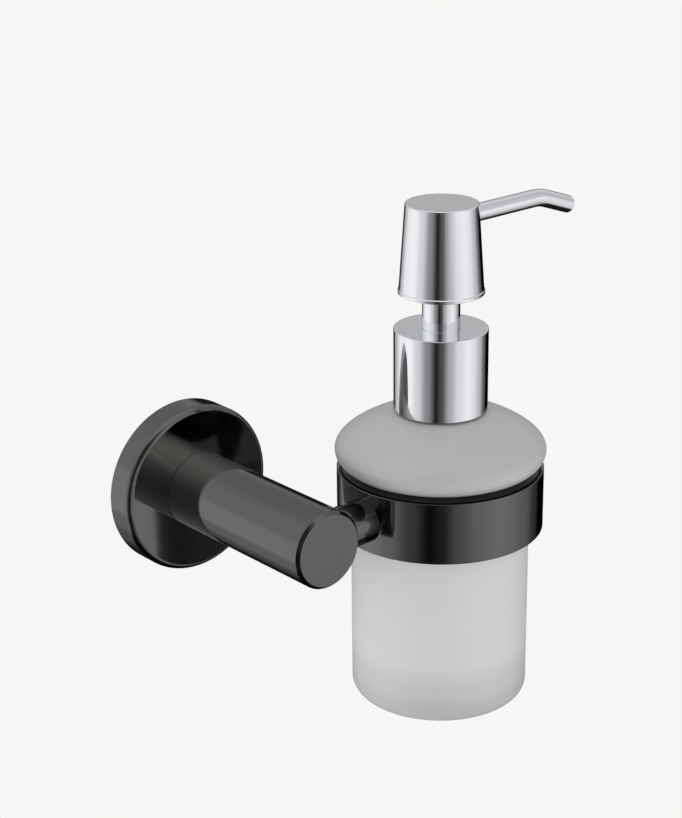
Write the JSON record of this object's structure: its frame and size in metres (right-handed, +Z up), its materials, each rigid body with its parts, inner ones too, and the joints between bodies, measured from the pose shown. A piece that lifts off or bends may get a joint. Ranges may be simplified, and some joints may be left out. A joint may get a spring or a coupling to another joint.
{
  "type": "wall mounted soap dispenser",
  "caption": "Wall bracket with a round flange, bar post and ring that carries a frosted glass bottle with a press pump and bent spout.",
  "frame": {"origin": "centre of the wall flange's back face, on the wall", "axes": "+Y into the wall, +Z up, +X along the wall from the post to the ring"},
  "size_m": [0.1556, 0.1093, 0.1824],
  "materials": {
    "gunmetal": "polished dark grey plated metal",
    "chrome": "bright polished chrome plate",
    "frosted_glass": "etched, evenly frosted outside",
    "zinc": "bare die-cast zinc",
    "steel": "stainless steel",
    "liner": "smooth dark grey plastic",
    "gasket": "soft pale gasket",
    "natural_plastic": "natural polyethylene",
    "white_plastic": "white polypropylene"
  },
  "bodies": {
    "bracket": {"wall_plate": "zinc", "wall_flange": "gunmetal", "flange_set_screw": "steel", "post": "gunmetal", "post_bolt": "steel", "post_washer": "steel", "arm_stud": "steel", "ring_arm": "gunmetal", "ring_screw": "steel", "holder_ring": "gunmetal", "ring_liner": "liner"},
    "bottle": {"glass_bottle": "frosted_glass"},
    "pump": {"pump_housing": "natural_plastic", "neck_gasket": "gasket", "guide_bush": "natural_plastic", "dip_tube": "natural_plastic", "return_spring": "steel"},
    "closure": {"collar_shell": "chrome", "closure_insert": "white_plastic"},
    "plunger": {"piston": "white_plastic"},
    "head": {"plunger_stem": "white_plastic", "stem_sleeve": "chrome", "head_core": "white_plastic", "head_shell": "chrome", "spout_tube": "chrome"},
    "inlet_ball": {"inlet_ball": "steel"},
    "outlet_ball": {"outlet_ball": "steel"}
  },
  "joints": [
    {"name": "bottle_lift", "type": "slide", "parent": "bracket", "child": "bottle", "axis": [0, 0, 1], "range_m": [0, 0.1]},
    {"name": "pump_lift", "type": "slide", "parent": "bottle", "child": "pump", "axis": [0, 0, 1], "range_m": [0, 0.125]},
    {"name": "collar_turn", "type": "hinge", "parent": "pump", "child": "closure", "pos_m": [0.0613, -0.072, 0.03245], "axis": [0, 0, 1], "continuous": true},
    {"name": "head_press", "type": "slide", "parent": "pump", "child": "plunger", "axis": [0, 0, -1], "range_m": [0, 0.012], "stiffness_N_per_m": 600, "springref_m": -0.008, "deforming": ["return_spring"]},
    {"name": "head_turn", "type": "hinge", "parent": "plunger", "child": "head", "pos_m": [0.0613, -0.072, 0.0748], "axis": [0, 0, 1], "continuous": true},
    {"name": "inlet_ball_lift", "type": "slide", "parent": "pump", "child": "inlet_ball", "axis": [0, 0, 1], "range_m": [0, 0.0012]},
    {"name": "outlet_ball_lift", "type": "slide", "parent": "head", "child": "outlet_ball", "axis": [0, 0, 1], "range_m": [0, 0.0012]}
  ]
}
